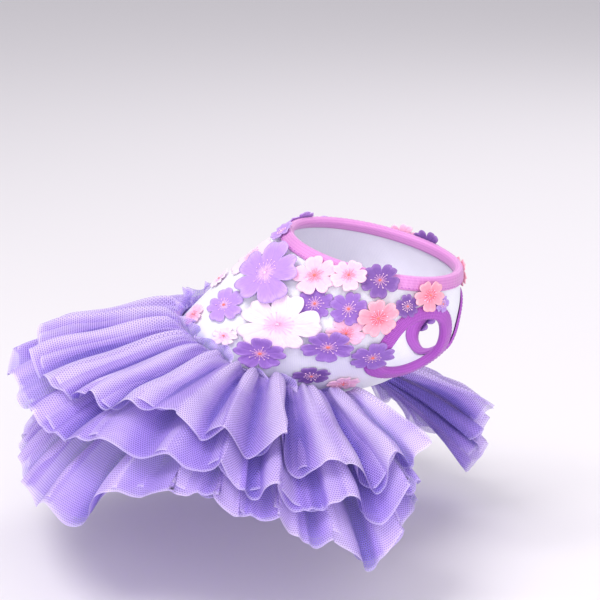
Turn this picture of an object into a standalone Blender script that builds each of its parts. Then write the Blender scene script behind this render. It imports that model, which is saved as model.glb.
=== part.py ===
# A small dog's tutu dress in the form that it has when worn by a sitting dog:
# a sleeveless bodice with cut blossoms, bound edges and a gathered net skirt of three tiers.
# Metres, +Z up, +X the way the wearer faces, +Y the wearer's left side.
# The origin is on the inside of the bodice, at the back of the neckline, where it sits on the withers.
# Round the body 0 degrees is the middle of the back, 90 the wearer's right side and 180 the belly.

import math

import bmesh
import bpy
from mathutils import Vector

# Body form that the bodice fits
BACK_LENGTH = 0.0917
BACK_PITCH = math.radians(41.8)
BACK_ARCH = 0.003
CHEST_DEPTH = 0.118
CHEST_WIDTH = 0.096

# Cloth, trims and the gaps between pieces
FABRIC_THICKNESS = 0.0012
BINDING_THICKNESS = 0.0010
BINDING_WIDTH = 0.0060
NET_THICKNESS = 0.0010
PETAL_THICKNESS = 0.0008
CLEARANCE = 0.0003
BINDING_CLEARANCE = 0.0006
FLOWER_CLEARANCE = 0.0006

# Leg holes, the places as shares of the bodice's length and degrees round the body
ARMHOLE_ALONG = 0.62
ARMHOLE_AROUND = 149.5
ARMHOLE_LENGTH = 0.4 * BACK_LENGTH
ARMHOLE_WIDTH = 0.0340
ARMHOLE_SQUARENESS = 2.3

# Skirt
UPPER_TIER_LENGTH = 0.082
MIDDLE_TIER_LENGTH = 0.100
LOWER_TIER_LENGTH = 0.120
SEAM_SPACING = 0.0040
LOWEST_SEAM = 0.0020
SKIRT_END = 150.0
TIER_BEND = 8.0
TIER_SPREAD = 4.0
GATHER_LENGTH = 0.010

# Resolution of the meshes
BODICE_COLUMNS = 48
BODICE_ROWS = 11
ARMHOLE_STEPS = 28
NECK_STEPS = 34
TIER_STEPS_PER_HALF_FOLD = 2
TIER_ROWS = 3

# Body sections from waist to neck:
# place along the back, depth and width as shares of the chest's, tilt of the section in degrees
BODY_SECTIONS = (
    # along, depth, width, tilt
    (0.00, 0.925, 0.92, 12.5),
    (0.25, 0.965, 0.97, 17.0),
    (0.60, 1.000, 1.00, 18.4),
    (0.80, 0.915, 0.95, 15.7),
    (1.00, 0.775, 0.82, 11.8),
)

# How the skirt fans out: place round the seam, and the way that the cloth there points,
# in degrees from straight back round by the side
FAN = (
    # around, azimuth
    (0, 0),
    (30, 22),
    (60, 56),
    (90, 96),
    (120, 123),
    (150, 142),
)

# How much further below level the skirt hangs on the wearer's left side than the tables below say
LEFT_SIDE_DROOP = (
    # around, degrees of the upper, the middle and the lower tier
    (0, 0, 0, 0),
    (17, 8, 8, 3),
    (30, 11, 11, 4),
    (60, 14, 12, 4),
    (100, 14, 12, 8),
    (150, 19, 16, 13),
)

# Folds of each tier from the middle of the back to the front end, with ridges and hollows at the same places on both sides.
# A row is one ridge and the hollow after it: place round the seam, droop below level, sideways
# lean, all in degrees, and reach as a share of the tier's length
UPPER_FOLDS = (
    # ridge: around, droop, lean, reach; hollow: around, droop, lean, reach
    (0, 9, 0, 1.00, 9, 12, 0, 0.99),
    (17, 4, 0, 1.00, 26, 12, 0, 1.00),
    (34, 5, 1, 1.01, 42, 13, 0, 1.00),
    (49, 7, 1, 1.00, 56, 13, 0, 0.98),
    (62, 5, 0, 0.96, 69, 9, 0, 0.96),
    (75, 0, 0, 0.97, 80, 3, 0, 0.97),
    (85, -1, -1, 0.99, 89, 9, -1, 0.99),
    (93, 0, 1, 0.99, 98, 14, 0, 0.98),
    (105, 1, 4, 0.98, 110, 18, -3, 0.98),
    (121, 8, 1, 1.00, 129, 21, 0, 1.03),
    (135, 5, 0, 0.97, 141, 14, 0, 0.96),
    (148, 2, 0, 0.93, 154, 8, 0, 0.93),
)
MIDDLE_FOLDS = (
    (4, 14, 0, 0.95, 10, 17, 0, 0.95),
    (17, 10, 0, 0.94, 24, 18, 0, 0.97),
    (32, 12, 0, 0.94, 41, 21, 0, 0.93),
    (51, 14, 0, 0.93, 62, 19, 0, 0.95),
    (72, 10, 0, 0.94, 80, 14, 0, 0.95),
    (86, 8, 0, 0.96, 90, 14, 0, 0.96),
    (95, 9, 0, 0.95, 101, 19, 0, 0.97),
    (107, 12, 0, 0.96, 113, 23, 0, 0.97),
    (122, 16, 0, 0.95, 130, 26, 0, 0.98),
    (138, 12, 0, 0.91, 145, 18, 0, 0.82),
)
LOWER_FOLDS = (
    (0, 35, 0, 0.94, 8, 40, 0, 0.97),
    (15, 37, 0, 0.92, 23, 43, 0, 0.97),
    (31, 38, 0, 0.91, 40, 42, 0, 0.95),
    (48, 35, 0, 0.93, 56, 38, 0, 0.96),
    (63, 29, 0, 0.96, 71, 32, 0, 0.99),
    (77, 20, 0, 0.90, 83, 21, 0, 0.87),
    (88, 14, 0, 0.86, 93, 18, 0, 0.86),
    (96, 15, 0, 0.86, 103, 24, 0, 0.86),
    (109, 18, 0, 0.86, 115, 28, 0, 0.90),
    (119, 24, 0, 0.90, 127, 32, 0, 0.97),
    (134, 23, 0, 0.90, 143, 24, 0, 0.78),
)

# Blossoms on the wearer's right side: place along and around, width across the petals in millimetres,
# turn in degrees, layer from the cloth up, lift of the petal tips in millimetres, colour, and
# whether the left side has its twin
BLOSSOMS = (
    # along, around, width, turn, layer, lift, colour, twin
    (0.744, 49, 40, 10, 2, 1.5, "lilac", True),
    (0.414, 44, 25, 40, 0, 0.3, "lilac", True),
    (0.525, 77, 42, 0, 1, 0.6, "pale_pink", True),
    (0.880, 75, 23, 20, 1, 0.6, "pink", True),
    (0.740, 84, 20, 0, 0, 0.2, "purple", False),
    (0.540, 104, 23, 50, 2, 1.2, "purple", True),
    (0.290, 85, 25, 15, 2, 1.5, "purple", True),
    (0.250, 115, 17, 30, 0, 0.3, "violet", True),
    (0.960, 20, 15, 0, 1, 1.2, "lilac", True),
    (0.720, 17, 30, 30, 0, 0.2, "pale_pink", False),
    (0.950, 93, 18, 50, 2, 0.9, "pink", True),
    (0.968, 111, 20, 30, 1, 0.3, "violet", True),
    (0.782, 101, 19, 60, 1, 0.3, "purple", True),
    (0.780, 117, 20, 10, 2, 1.5, "coral", True),
    (0.650, 106, 20, 30, 0, 0.2, "pink", False),
    (0.862, 131, 13, 0, 1, 0.3, "violet", True),
    (0.925, 144, 17, 20, 2, 0.9, "coral", True),
    (0.880, 156, 9, 40, 1, 0.2, "lilac", False),
    (0.555, 126, 21, 70, 1, 0.3, "purple", True),
    (0.240, 134, 15, 20, 0, 0.3, "pink", False),
    (0.255, 62, 15, 10, 0, 0.3, "pale_pink", False),
    (0.210, 30, 16, 45, 0, 0.6, "pink", True),
    (0.450, 12, 14, 30, 0, 0.6, "pale_pink", False),
)
PETALS = 5
LAYER_STEP = 0.0013
WIDE_BLOSSOM = 0.028

# Colours, red, green and blue, with the roughness of the cloth
COLOURS = {
    "fabric": (0.90, 0.90, 0.97, 0.75),
    "binding": (0.50, 0.13, 0.58, 0.60),
    "net": (0.55, 0.38, 0.85, 0.80),
    "lilac": (0.60, 0.38, 0.86, 0.65),
    "purple": (0.42, 0.20, 0.62, 0.65),
    "violet": (0.25, 0.10, 0.40, 0.65),
    "pink": (1.00, 0.55, 0.72, 0.65),
    "pale_pink": (0.97, 0.76, 0.92, 0.65),
    "coral": (1.00, 0.38, 0.48, 0.65),
}


def between(table, place, column):
    """Reads one column of a table at a place in its first, by a smooth curve through the rows."""
    places = [row[0] for row in table]
    values = [row[column] for row in table]
    last = len(table) - 1
    slopes = []
    for index in range(last + 1):
        before, after = max(index - 1, 0), min(index + 1, last)
        slopes.append((values[after] - values[before]) / (places[after] - places[before]))
    if place <= places[0]:
        return values[0] + slopes[0] * (place - places[0])
    if place >= places[-1]:
        return values[-1] + slopes[-1] * (place - places[-1])
    index = max(row for row in range(last) if places[row] <= place)
    gap = places[index + 1] - places[index]
    step = (place - places[index]) / gap
    return (
        (2 * step**3 - 3 * step**2 + 1) * values[index]
        + (step**3 - 2 * step**2 + step) * gap * slopes[index]
        + (3 * step**2 - 2 * step**3) * values[index + 1]
        + (step**3 - step**2) * gap * slopes[index + 1]
    )


def section(along):
    """Centre of the body at a place along the back, half its depth and half its width."""
    way_up = Vector((math.cos(BACK_PITCH), 0, math.sin(BACK_PITCH)))
    out = Vector((-math.sin(BACK_PITCH), 0, math.cos(BACK_PITCH)))
    back = way_up * (along - 1) * BACK_LENGTH + out * BACK_ARCH * 4 * along * (1 - along)
    tilt = math.radians(between(BODY_SECTIONS, along, 3))
    down = Vector((math.cos(tilt), 0, -math.sin(tilt)))
    half_depth = down * between(BODY_SECTIONS, along, 1) * CHEST_DEPTH / 2
    half_width = Vector((0, -between(BODY_SECTIONS, along, 2) * CHEST_WIDTH / 2, 0))
    return back + half_depth, -half_depth, half_width


def on_body(along, around):
    """The point of the body form at a place along the back and degrees round it."""
    centre, to_back, to_right = section(along)
    angle = math.radians(around)
    return centre + to_back * math.cos(angle) + to_right * math.sin(angle)


def off_body(along, around, height):
    """The point that lies a height off the body form, square to it."""
    step = 0.01
    degree = 0.5
    round_it = on_body(along, around + degree) - on_body(along, around - degree)
    up_it = on_body(along + step, around) - on_body(along - step, around)
    return on_body(along, around) + round_it.cross(up_it).normalized() * height


def metres_per(along, around):
    """Metres for a whole share along the back and for a degree round the body, at a place."""
    step = 0.01
    up_it = (on_body(along + step, around) - on_body(along - step, around)).length / (2 * step)
    round_it = (on_body(along, around + 1) - on_body(along, around - 1)).length / 2
    return up_it, round_it


def cloth_material(name):
    red, green, blue, roughness = COLOURS[name]
    material = bpy.data.materials.get(name) or bpy.data.materials.new(name)
    material.use_nodes = True
    shader = material.node_tree.nodes["Principled BSDF"]
    shader.inputs["Base Color"].default_value = (red, green, blue, 1)
    shader.inputs["Roughness"].default_value = roughness
    shader.inputs["Metallic"].default_value = 0
    return material


def make_object(name, points, faces, colour):
    mesh = bpy.data.meshes.new(name)
    mesh.from_pydata([tuple(point) for point in points], [], faces)
    body = bmesh.new()
    body.from_mesh(mesh)
    bmesh.ops.recalc_face_normals(body, faces=body.faces)
    body.to_mesh(mesh)
    body.free()
    mesh.shade_smooth()
    mesh.set_sharp_from_angle(angle=math.radians(40))
    mesh.materials.append(cloth_material(colour))
    made = bpy.data.objects.new(name, mesh)
    bpy.context.scene.collection.objects.link(made)
    return made


def ring_wall(loops, closed):
    """Faces between each loop of points and the next, and from the last to the first if closed."""
    count = len(loops[0])
    faces = []
    for row in range(len(loops) if closed else len(loops) - 1):
        below, above = row * count, (row + 1) % len(loops) * count
        for column in range(count):
            after = (column + 1) % count
            faces.append((below + column, below + after, above + after, above + column))
    return [point for loop in loops for point in loop], faces


def armhole_edge(side, step):
    """Place along and around of one point of a leg hole's edge, side 1 for the wearer's right."""
    angle = 2 * math.pi * step / ARMHOLE_STEPS
    per_along, per_degree = metres_per(ARMHOLE_ALONG, ARMHOLE_AROUND)
    power = 2 / ARMHOLE_SQUARENESS
    up = math.copysign(abs(math.sin(angle)) ** power, math.sin(angle)) * ARMHOLE_LENGTH / 2
    across = math.copysign(abs(math.cos(angle)) ** power, math.cos(angle)) * ARMHOLE_WIDTH / 2
    return ARMHOLE_ALONG + up / per_along, side * (ARMHOLE_AROUND + across / per_degree)


def armhole_cutter(side):
    """A prism through the wall in the leg hole's outline."""
    reach = 0.006
    edge = [armhole_edge(side, step) for step in range(ARMHOLE_STEPS)]
    inner = [off_body(along, around, -reach) for along, around in edge]
    outer = [off_body(along, around, FABRIC_THICKNESS + reach) for along, around in edge]
    points, faces = ring_wall([inner, outer], False)
    faces.append(tuple(range(ARMHOLE_STEPS)))
    faces.append(tuple(range(ARMHOLE_STEPS, 2 * ARMHOLE_STEPS)))
    cutter = make_object(f"armhole_cutter_{'right' if side > 0 else 'left'}", points, faces, "fabric")
    cutter.hide_render = True
    cutter.display_type = "WIRE"
    return cutter


def make_bodice():
    """The sleeveless tube of fabric from waist to neck, with a hole for each front leg."""
    loops = []
    for height in (0, FABRIC_THICKNESS):
        rows = [row / BODICE_ROWS for row in range(BODICE_ROWS + 1)]
        for along in rows if height == 0 else reversed(rows):
            columns = [360 * column / BODICE_COLUMNS for column in range(BODICE_COLUMNS)]
            loops.append([off_body(along, around, height) for around in columns])
    points, faces = ring_wall(loops, True)
    bodice = make_object("bodice", points, faces, "fabric")
    for side in (1, -1):
        cut = bodice.modifiers.new(f"leg hole {side}", "BOOLEAN")
        cut.operation = "DIFFERENCE"
        cut.solver = "EXACT"
        cut.object = armhole_cutter(side)


def make_binding(name, edge, into_cloth):
    """A folded strip that wraps an edge: places along and around, and the way into the cloth from each."""
    outside = FABRIC_THICKNESS + BINDING_CLEARANCE
    profile = (
        # distance into the cloth, height off the body form
        (BINDING_WIDTH, outside + BINDING_THICKNESS * 0.6),
        (BINDING_WIDTH / 2, outside + BINDING_THICKNESS),
        (-BINDING_CLEARANCE, outside + BINDING_THICKNESS),
        (-BINDING_CLEARANCE - BINDING_THICKNESS, FABRIC_THICKNESS / 2),
        (-BINDING_CLEARANCE, -BINDING_CLEARANCE - BINDING_THICKNESS),
        (BINDING_WIDTH * 0.7, -BINDING_CLEARANCE - BINDING_THICKNESS),
        (BINDING_WIDTH * 0.7, -BINDING_CLEARANCE),
        (-BINDING_CLEARANCE, -BINDING_CLEARANCE),
        (-BINDING_CLEARANCE, outside),
        (BINDING_WIDTH, outside),
    )
    loops = []
    for (along, around), (up, across) in zip(edge, into_cloth):
        per_along, per_degree = metres_per(along, around)
        loops.append([
            off_body(along + up * depth / per_along, around + across * depth / per_degree, height)
            for depth, height in profile
        ])
    points, faces = ring_wall(loops, True)
    make_object(name, points, faces, "binding")


def make_armhole_binding(side):
    edge = [armhole_edge(side, step) for step in range(ARMHOLE_STEPS)]
    into_cloth = []
    for step, (along, around) in enumerate(edge):
        before, after = edge[step - 1], edge[(step + 1) % ARMHOLE_STEPS]
        per_along, per_degree = metres_per(along, around)
        run = Vector(((after[1] - before[1]) * per_degree, (after[0] - before[0]) * per_along)).normalized()
        outward = Vector((run.y, -run.x)) * side
        into_cloth.append((outward.y, outward.x))
    make_binding(f"armhole_binding_{'right' if side > 0 else 'left'}", edge, into_cloth)


def make_neck_binding():
    edge = [(1.0, 360 * step / NECK_STEPS) for step in range(NECK_STEPS)]
    make_binding("neck_binding", edge, [(-1, 0)] * NECK_STEPS)


def fold_keys(folds):
    """Ridges and hollows of one side as rows of place, droop, lean and reach."""
    keys = []
    for row in folds:
        keys.append(row[:4])
        keys.append(row[4:])
    return keys


TIERS = (
    # name, folds, length, seam number from the waist edge up
    ("skirt_upper_tier", fold_keys(UPPER_FOLDS), UPPER_TIER_LENGTH, 2),
    ("skirt_middle_tier", fold_keys(MIDDLE_FOLDS), MIDDLE_TIER_LENGTH, 1),
    ("skirt_lower_tier", fold_keys(LOWER_FOLDS), LOWER_TIER_LENGTH, 0),
)


def droop_at(tier, around):
    """Droop of a tier's cloth in degrees. A lower tier lies a spread below the one over it."""
    own = between(TIERS[tier][1], abs(around), 1)
    if around < 0:
        own += between(LEFT_SIDE_DROOP, -around, tier + 1)
    if tier == 0:
        return own
    return max(own, droop_at(tier - 1, around) + TIER_SPREAD)


def on_tier(tier, around, out):
    """The middle of the net's thickness at degrees round the seam and a share out to the hem."""
    keys, length, seam = TIERS[tier][1:]
    side = math.copysign(1, around)
    start = off_body(
        (LOWEST_SEAM + seam * SEAM_SPACING) / BACK_LENGTH,
        around,
        FABRIC_THICKNESS + CLEARANCE + NET_THICKNESS,
    )
    reach = between(keys, abs(around), 3) * length * out
    gathered = min(1, reach / GATHER_LENGTH)
    azimuth = between(FAN, abs(around), 1) + between(keys, abs(around), 2) * gathered
    azimuth = math.radians(side * azimuth)
    droop = math.radians(droop_at(tier, around) - TIER_BEND * (1 - out))
    level = Vector((-math.cos(azimuth), -math.sin(azimuth), 0))
    return start + reach * (level * math.cos(droop) - Vector((0, 0, math.sin(droop))))


def tier_places(tier):
    """Degrees round the seam of a tier's columns, from the left front end to the right one."""
    keys = [key[0] for key in TIERS[tier][1] if key[0] < SKIRT_END] + [SKIRT_END]
    if keys[0] > 0:
        keys.insert(0, 0)
    half = []
    for near, far in zip(keys, keys[1:]):
        for step in range(TIER_STEPS_PER_HALF_FOLD):
            half.append(near + (far - near) * step / TIER_STEPS_PER_HALF_FOLD)
    half.append(SKIRT_END)
    return [-place for place in reversed(half[1:])] + half


def make_tier(tier):
    places = tier_places(tier)
    rows = [row / TIER_ROWS for row in range(TIER_ROWS + 1)]
    degree, share = 0.4, 0.02
    over, under = [], []
    for out in rows:
        for around in places:
            middle = on_tier(tier, around, out)
            run = on_tier(tier, around + degree, out) - on_tier(tier, around - degree, out)
            fall = on_tier(tier, around, out + share) - middle
            up = fall.cross(run).normalized() * NET_THICKNESS / 2
            over.append(middle + up)
            under.append(middle - up)
    count = len(places)
    total = len(over)
    faces = []
    for row in range(TIER_ROWS):
        for column in range(count - 1):
            first = row * count + column
            cell = (first, first + 1, first + count + 1, first + count)
            faces.append(cell)
            faces.append(tuple(total + corner for corner in reversed(cell)))
    border = [column for column in range(count)]
    border += [row * count + count - 1 for row in range(1, TIER_ROWS + 1)]
    border += [TIER_ROWS * count + column for column in range(count - 2, -1, -1)]
    border += [row * count for row in range(TIER_ROWS - 1, 0, -1)]
    for first, second in zip(border, border[1:] + border[:1]):
        faces.append((first, second, total + second, total + first))
    make_object(TIERS[tier][0], over + under, faces, "net")


def blossom_outline(width, turn):
    """Points round a flower of five petals: right and up in metres, share of the petal's length."""
    shape = (
        # share of a petal's turn, share of the radius
        (0.00, 0.62),
        (0.22, 0.95),
        (0.50, 0.97),
        (0.76, 1.00),
    )
    outline = []
    for petal in range(PETALS):
        for place, share in shape:
            angle = 2 * math.pi * (petal + place) / PETALS + math.radians(turn)
            radius = share * width / 2
            outline.append((radius * math.cos(angle), radius * math.sin(angle), share))
    return outline


def make_blossom(name, row, side):
    along, around, millimetres, turn, layer, lift, colour = row[:7]
    width = millimetres / 1000
    outline = blossom_outline(width, turn)
    per_along, per_degree = metres_per(along, around)
    base = FABRIC_THICKNESS + FLOWER_CLEARANCE + layer * LAYER_STEP
    rings = 2 if width > WIDE_BLOSSOM else 1
    skins = []
    for thickness in (0, PETAL_THICKNESS):
        skin = [off_body(along, side * around, base + thickness)]
        for ring in range(1, rings + 1):
            grown = ring / rings
            for right, up, share in outline:
                height = base + thickness + lift / 1000 * max(0, grown * share - 0.5) * 2
                place = along + up * grown / per_along
                skin.append(off_body(place, side * (around + right * grown / per_degree), height))
        skins.append(skin)
    count, size = len(outline), len(skins[0])
    faces = []
    for first in (0, size):
        for step in range(count):
            after = (step + 1) % count
            faces.append((first, first + 1 + step, first + 1 + after))
            for ring in range(1, rings):
                inner, outer = first + 1 + (ring - 1) * count, first + 1 + ring * count
                faces.append((inner + step, outer + step, outer + after, inner + after))
    rim = 1 + (rings - 1) * count
    for step in range(count):
        after = (step + 1) % count
        faces.append((rim + step, rim + after, size + rim + after, size + rim + step))
    make_object(name, skins[0] + skins[1], faces, colour)


def make_blossoms():
    for number, row in enumerate(BLOSSOMS, 1):
        make_blossom(f"blossom_right_{number:02d}", row, 1)
        if row[7]:
            make_blossom(f"blossom_left_{number:02d}", row, -1)


def main():
    for old in list(bpy.data.objects):
        bpy.data.objects.remove(old, do_unlink=True)
    make_bodice()
    make_neck_binding()
    for side in (1, -1):
        make_armhole_binding(side)
    for tier in range(len(TIERS)):
        make_tier(tier)
    make_blossoms()


main()
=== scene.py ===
import math

import bmesh
import bpy
import numpy as np
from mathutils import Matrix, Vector


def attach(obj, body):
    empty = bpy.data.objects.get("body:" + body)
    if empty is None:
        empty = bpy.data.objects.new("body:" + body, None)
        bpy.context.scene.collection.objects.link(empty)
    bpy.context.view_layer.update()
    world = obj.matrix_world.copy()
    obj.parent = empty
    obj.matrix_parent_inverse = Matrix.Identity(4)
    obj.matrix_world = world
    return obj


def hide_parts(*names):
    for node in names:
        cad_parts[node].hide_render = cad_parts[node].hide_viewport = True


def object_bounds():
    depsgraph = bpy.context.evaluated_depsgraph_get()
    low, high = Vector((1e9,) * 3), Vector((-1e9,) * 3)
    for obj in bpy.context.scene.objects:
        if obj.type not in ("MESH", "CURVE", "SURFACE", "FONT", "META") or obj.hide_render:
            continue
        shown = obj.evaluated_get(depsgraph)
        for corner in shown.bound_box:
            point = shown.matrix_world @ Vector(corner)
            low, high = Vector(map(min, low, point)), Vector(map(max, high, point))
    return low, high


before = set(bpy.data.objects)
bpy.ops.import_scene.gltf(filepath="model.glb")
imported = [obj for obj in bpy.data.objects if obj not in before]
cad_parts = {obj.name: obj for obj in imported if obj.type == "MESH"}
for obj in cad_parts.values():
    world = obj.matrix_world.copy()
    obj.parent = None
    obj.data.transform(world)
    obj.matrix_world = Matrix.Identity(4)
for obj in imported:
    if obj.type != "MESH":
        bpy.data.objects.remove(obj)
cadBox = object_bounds()
print("frame loaded:", len(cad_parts), "nodes")

# A small tutu dress in its worn form: mesh bodice, cut blossoms, elastic bindings, three tulle tiers.
# Metres. Round the body 0 degrees is the middle of the back, 90 the wearer's right side, 180 the belly.

bodyForm = {
    "backLength": 0.0917,
    "backPitch": math.radians(41.8),
    "backArch": 0.003,
    "chestDepth": 0.118,
    "chestWidth": 0.096,
    # along, depth, width, tilt in degrees, from waist to neck
    "sections": (
        (0.00, 0.925, 0.92, 12.5),
        (0.25, 0.965, 0.97, 17.0),
        (0.60, 1.000, 1.00, 18.4),
        (0.80, 0.915, 0.95, 15.7),
        (1.00, 0.775, 0.82, 11.8),
    ),
}


def between(table, place, column):
    # One column of a table at places in its first, by a smooth curve through the rows
    places = np.array([row[0] for row in table], float)
    values = np.array([row[column] for row in table], float)
    slopes = np.empty_like(values)
    slopes[1:-1] = (values[2:] - values[:-2]) / (places[2:] - places[:-2])
    slopes[0] = (values[1] - values[0]) / (places[1] - places[0])
    slopes[-1] = (values[-1] - values[-2]) / (places[-1] - places[-2])
    place = np.asarray(place, float)
    index = np.clip(np.searchsorted(places, place, side="right") - 1, 0, len(places) - 2)
    gap = places[index + 1] - places[index]
    step = (place - places[index]) / gap
    inside = np.clip(step, 0, 1)
    curve = (
        (2 * inside**3 - 3 * inside**2 + 1) * values[index]
        + (inside**3 - 2 * inside**2 + inside) * gap * slopes[index]
        + (3 * inside**2 - 2 * inside**3) * values[index + 1]
        + (inside**3 - inside**2) * gap * slopes[index + 1]
    )
    return curve + (step - inside) * gap * np.where(step < 0, slopes[0], slopes[-1])


def vectors(x, y, z):
    return np.stack(np.broadcast_arrays(x, y, z), axis=-1).astype(float)


def unit(points):
    return points / np.maximum(np.linalg.norm(points, axis=-1, keepdims=True), 1e-12)


def onBody(along, around):
    # Points of the body form at places along the back and degrees round it
    along, around = np.broadcast_arrays(np.asarray(along, float), np.asarray(around, float))
    pitch = bodyForm["backPitch"]
    wayUp = np.array([math.cos(pitch), 0, math.sin(pitch)])
    out = np.array([-math.sin(pitch), 0, math.cos(pitch)])
    back = (along - 1)[..., None] * bodyForm["backLength"] * wayUp
    back = back + (bodyForm["backArch"] * 4 * along * (1 - along))[..., None] * out
    tilt = np.radians(between(bodyForm["sections"], along, 3))
    depth = between(bodyForm["sections"], along, 1) * bodyForm["chestDepth"] / 2
    width = between(bodyForm["sections"], along, 2) * bodyForm["chestWidth"] / 2
    halfDepth = vectors(np.cos(tilt) * depth, 0, -np.sin(tilt) * depth)
    angle = np.radians(around)
    sideways = vectors(0, -width * np.sin(angle), 0)
    return back + halfDepth - halfDepth * np.cos(angle)[..., None] + sideways


def offBody(along, around, height):
    # Points a height off the body form, square to it
    along, around = np.broadcast_arrays(np.asarray(along, float), np.asarray(around, float))
    roundIt = onBody(along, around + 0.5) - onBody(along, around - 0.5)
    upIt = onBody(along + 0.01, around) - onBody(along - 0.01, around)
    height = np.broadcast_to(height, along.shape)
    return onBody(along, around) + unit(np.cross(roundIt, upIt)) * height[..., None]


def metresPer(along, around):
    # Metres for a whole share along the back and for a degree round the body
    upIt = np.linalg.norm(onBody(along + 0.01, around) - onBody(along - 0.01, around)) / 0.02
    roundIt = np.linalg.norm(onBody(along, around + 1) - onBody(along, around - 1)) / 2
    return float(upIt), float(roundIt)


def smoothStep(low, high, value):
    share = np.clip((np.asarray(value, float) - low) / (high - low), 0, 1)
    return share * share * (3 - 2 * share)


# Shader groups

def newGroup(name, inputs, outputs):
    group = bpy.data.node_groups.new(name, "ShaderNodeTree")
    for socketName, kind, value in inputs:
        socket = group.interface.new_socket(socketName, in_out="INPUT", socket_type=kind)
        socket.default_value = value
    for socketName, kind in outputs:
        group.interface.new_socket(socketName, in_out="OUTPUT", socket_type=kind)
    return group, group.nodes.new("NodeGroupInput"), group.nodes.new("NodeGroupOutput")


def connect(group, source, target):
    group.links.new(source, target)


def addNode(group, kind, **settings):
    node = group.nodes.new(kind)
    for name, value in settings.items():
        setattr(node, name, value)
    return node


def feed(group, node, name, value):
    # Gives an input either a fixed value or a link
    if isinstance(value, bpy.types.NodeSocket):
        group.links.new(value, node.inputs[name])
    else:
        node.inputs[name].default_value = value


def maths(group, operation, first, second=None, third=None):
    node = addNode(group, "ShaderNodeMath", operation=operation)
    for index, value in enumerate((first, second, third)):
        if value is not None:
            feed(group, node, index, value)
    return node.outputs[0]


def blendColours(group, share, first, second):
    node = addNode(group, "ShaderNodeMix", data_type="RGBA", blend_type="MIX")
    feed(group, node, 0, share)
    feed(group, node, 6, first)
    feed(group, node, 7, second)
    return node.outputs[2]


def ramp(group, value, low, high, start=0.0, end=1.0):
    node = addNode(group, "ShaderNodeMapRange", interpolation_type="SMOOTHSTEP")
    for name, amount in (("From Min", low), ("From Max", high), ("To Min", start), ("To Max", end)):
        node.inputs[name].default_value = amount
    feed(group, node, "Value", value)
    return node.outputs["Result"]


def attribute(group, name):
    return addNode(group, "ShaderNodeAttribute", attribute_name=name).outputs["Fac"]


def clothMap(group):
    node = addNode(group, "ShaderNodeUVMap", uv_map="cloth")
    parts = addNode(group, "ShaderNodeSeparateXYZ")
    connect(group, node.outputs[0], parts.inputs[0])
    return node.outputs[0], parts.outputs[0], parts.outputs[1]


def noiseAt(group, vector, scale, detail=3.0):
    node = addNode(group, "ShaderNodeTexNoise")
    node.inputs["Scale"].default_value = scale
    node.inputs["Detail"].default_value = detail
    connect(group, vector, node.inputs["Vector"])
    return node.outputs["Fac"]


def objectPlace(group):
    return addNode(group, "ShaderNodeTexCoord").outputs["Object"]


def makeNetGroup():
    # Hexagonal net from rows of cells: threads are dense, holes let light through
    group, given, result = newGroup(
        "tulleNet",
        (
            ("Pitch", "NodeSocketFloat", 0.0014),
            ("Thread Alpha", "NodeSocketFloat", 0.95),
            ("Hole Alpha", "NodeSocketFloat", 0.45),
        ),
        (("Alpha", "NodeSocketFloat"), ("Thread", "NodeSocketFloat")),
    )
    place = clothMap(group)[0]
    scaled = addNode(group, "ShaderNodeVectorMath", operation="SCALE")
    connect(group, place, scaled.inputs[0])
    connect(group, maths(group, "DIVIDE", 1.0, given.outputs["Pitch"]), scaled.inputs["Scale"])
    cells = addNode(group, "ShaderNodeTexBrick", offset=0.5, offset_frequency=2)
    cells.inputs["Scale"].default_value = 1.0
    cells.inputs["Mortar Size"].default_value = 0.16
    cells.inputs["Mortar Smooth"].default_value = 0.6
    cells.inputs["Brick Width"].default_value = 1.0
    cells.inputs["Row Height"].default_value = 0.87
    connect(group, scaled.outputs[0], cells.inputs["Vector"])
    thread = cells.outputs["Fac"]
    span = maths(group, "SUBTRACT", given.outputs["Thread Alpha"], given.outputs["Hole Alpha"])
    alpha = maths(group, "MULTIPLY_ADD", thread, span, given.outputs["Hole Alpha"])
    hem = attribute(group, "hemShare")
    alpha = maths(group, "MAXIMUM", alpha, maths(group, "MULTIPLY", hem, 0.8))
    connect(group, alpha, result.inputs["Alpha"])
    connect(group, thread, result.inputs["Thread"])
    return group


def makeTulleToneGroup():
    # Painted light and shade: pale on the ridges where light falls, painted shade deep in the hollows and near the
    # gathers, a painted highlight along the cut hem
    group, given, result = newGroup(
        "tulleTone",
        (
            ("Pale", "NodeSocketColor", (1, 1, 1, 1)),
            ("Middle", "NodeSocketColor", (1, 1, 1, 1)),
            ("Deep", "NodeSocketColor", (1, 1, 1, 1)),
            ("Thread", "NodeSocketFloat", 0.5),
        ),
        (("Color", "NodeSocketColor"), ("Height", "NodeSocketFloat")),
    )
    # painted shade: the fold mask takes the net from pale through middle to deep in the hollows and at the gathers
    depth = attribute(group, "paintedFoldShade")
    drift = noiseAt(group, objectPlace(group), 38.0)
    depth = maths(group, "ADD", depth, maths(group, "MULTIPLY_ADD", drift, 0.5, -0.25))
    colour = blendColours(group, ramp(group, depth, 0.0, 0.55), given.outputs["Pale"], given.outputs["Middle"])
    colour = blendColours(group, ramp(group, depth, 0.5, 1.0), colour, given.outputs["Deep"])
    threads = maths(group, "MULTIPLY", given.outputs["Thread"], 0.22)
    colour = blendColours(group, threads, colour, (0.93, 0.86, 1.0, 1))
    # painted highlight: the cut hem is blended towards a pale lilac
    hem = maths(group, "MULTIPLY", attribute(group, "hemShare"), 0.5)
    colour = blendColours(group, hem, colour, (0.86, 0.76, 0.99, 1))
    connect(group, colour, result.inputs["Color"])
    connect(group, given.outputs["Thread"], result.inputs["Height"])
    return group


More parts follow.
